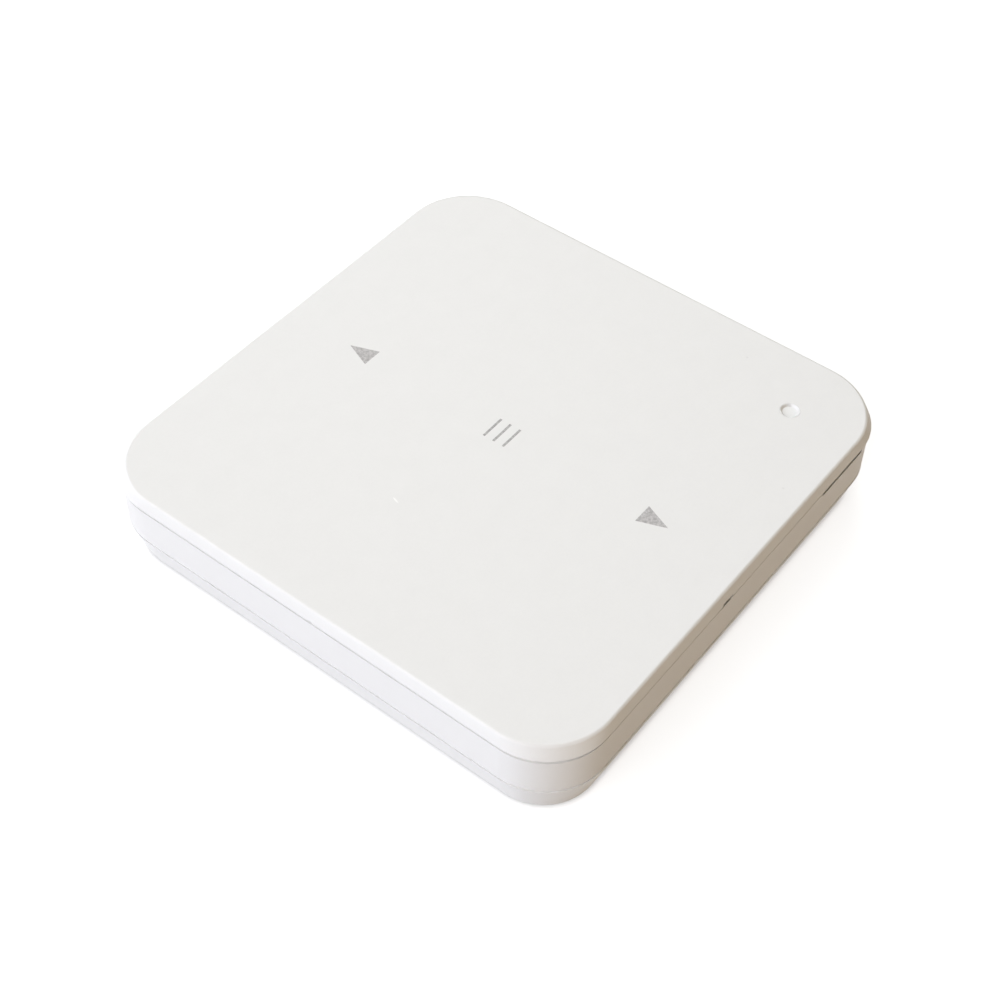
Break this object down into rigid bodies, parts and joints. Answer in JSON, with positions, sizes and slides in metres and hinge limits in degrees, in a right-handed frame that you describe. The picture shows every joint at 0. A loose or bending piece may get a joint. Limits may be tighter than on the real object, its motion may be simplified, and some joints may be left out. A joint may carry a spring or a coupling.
{
  "type": "handheld remote control",
  "caption": "Square flat remote control with a rocking one-piece face plate, resting in a tapered magnetic wall base.",
  "frame": {"origin": "centre of the flat back of the wall base", "axes": "+X to the remote's right, +Y towards its up mark, +Z out of its face"},
  "size_m": [0.086, 0.086, 0.016],
  "materials": {
    "face_plastic": "fine matte moulded white",
    "housing_plastic": "smooth satin white",
    "base_plastic": "smooth satin white",
    "mark_print": "grey print",
    "window_plastic": "milky translucent",
    "steel": "plain steel",
    "contact_metal": "gilt sheet",
    "board": "green solder mask",
    "chip_black": "moulded black",
    "ceramic_parts": "tan ceramic",
    "plunger_plastic": "ivory",
    "silicone": "soft grey silicone",
    "magnet_plating": "nickel plate",
    "adhesive_foam": "white adhesive foam"
  },
  "bodies": {
    "base": {"wall_base": "base_plastic", "magnets": "magnet_plating", "adhesive_pads": "adhesive_foam"},
    "handset": {"housing": "housing_plastic", "circuit_board": "board", "board_screws": "steel", "radio_chip": "chip_black", "crystal": "steel", "capacitors": "ceramic_parts", "resistors": "chip_black", "status_led": "window_plastic", "antenna": "contact_metal", "battery_holder": "chip_black", "coin_cell": "steel", "positive_contact": "contact_metal", "negative_contact": "contact_metal", "steel_discs": "steel", "return_springs": "steel", "up_switch": "chip_black", "stop_switch": "chip_black", "down_switch": "chip_black", "pairing_switch": "chip_black"},
    "bar": {"pivot_bar": "steel"},
    "face_plate": {"face": "face_plastic", "up_mark": "mark_print", "stop_mark": "mark_print", "down_mark": "mark_print", "light_pipe": "window_plastic"},
    "up_press": {"up_plunger": "plunger_plastic", "up_cap": "silicone"},
    "stop_press": {"stop_plunger": "plunger_plastic", "stop_cap": "silicone"},
    "down_press": {"down_plunger": "plunger_plastic", "down_cap": "silicone"},
    "pairing_press": {"pairing_plunger": "plunger_plastic"}
  },
  "joints": [
    {"name": "lift_off", "type": "slide", "parent": "base", "child": "handset", "axis": [0, 0, 1], "range_m": [0, 0.03]},
    {"name": "bar_sink", "type": "slide", "parent": "handset", "child": "bar", "axis": [0, 0, -1], "range_m": [0, 0.00025], "stiffness_N_per_m": 1500, "springref_m": -0.0006, "deforming": ["return_springs", "stop_cap"]},
    {"name": "face_rock", "type": "hinge", "parent": "bar", "child": "face_plate", "pos_m": [0, 0, 0.013], "axis": [1, 0, 0], "range_deg": [-0.38, 0.38], "stiffness_Nm_per_rad": 4, "deforming": ["up_cap", "down_cap"]},
    {"name": "up_click", "type": "slide", "parent": "handset", "child": "up_press", "axis": [0, 0, -1], "range_m": [0, 0.00025], "stiffness_N_per_m": 2000, "springref_m": -0.0002},
    {"name": "stop_click", "type": "slide", "parent": "handset", "child": "stop_press", "axis": [0, 0, -1], "range_m": [0, 0.00025], "stiffness_N_per_m": 2000, "springref_m": -0.0002},
    {"name": "down_click", "type": "slide", "parent": "handset", "child": "down_press", "axis": [0, 0, -1], "range_m": [0, 0.00025], "stiffness_N_per_m": 2000, "springref_m": -0.0002},
    {"name": "pairing_click", "type": "slide", "parent": "handset", "child": "pairing_press", "axis": [0, 0, -1], "range_m": [0, 0.00025], "stiffness_N_per_m": 2000, "springref_m": -0.0002}
  ]
}
